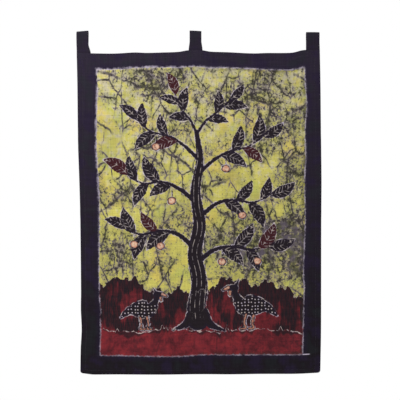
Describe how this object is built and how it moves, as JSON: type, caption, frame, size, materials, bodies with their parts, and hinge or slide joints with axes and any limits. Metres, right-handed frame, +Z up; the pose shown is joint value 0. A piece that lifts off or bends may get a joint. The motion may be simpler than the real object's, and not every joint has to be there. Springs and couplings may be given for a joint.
{
  "type": "batik wall hanging",
  "caption": "Hemmed cotton batik cloth with a dark border and tab loops along its top edge, for hanging on a rod.",
  "frame": {"origin": "on the line where a straight rod bears inside the tab loops, at the middle of the cloth's width", "axes": "+Z up; the cloth hangs down in the XZ plane with its front towards -Y; X runs along the rod, to the right as seen from the front"},
  "size_m": [0.6524, 0.0157, 0.9165],
  "materials": {
    "batik_cotton": "yellow crackled wax-resist cotton with a black-purple dyed border, matt",
    "dark_cotton": "black-purple dyed plain-weave cotton, matt"
  },
  "bodies": {
    "root": {"batik_cloth": "batik_cotton", "tab_left": "dark_cotton", "tab_middle": "dark_cotton", "tab_right": "dark_cotton"}
  },
  "joints": []
}
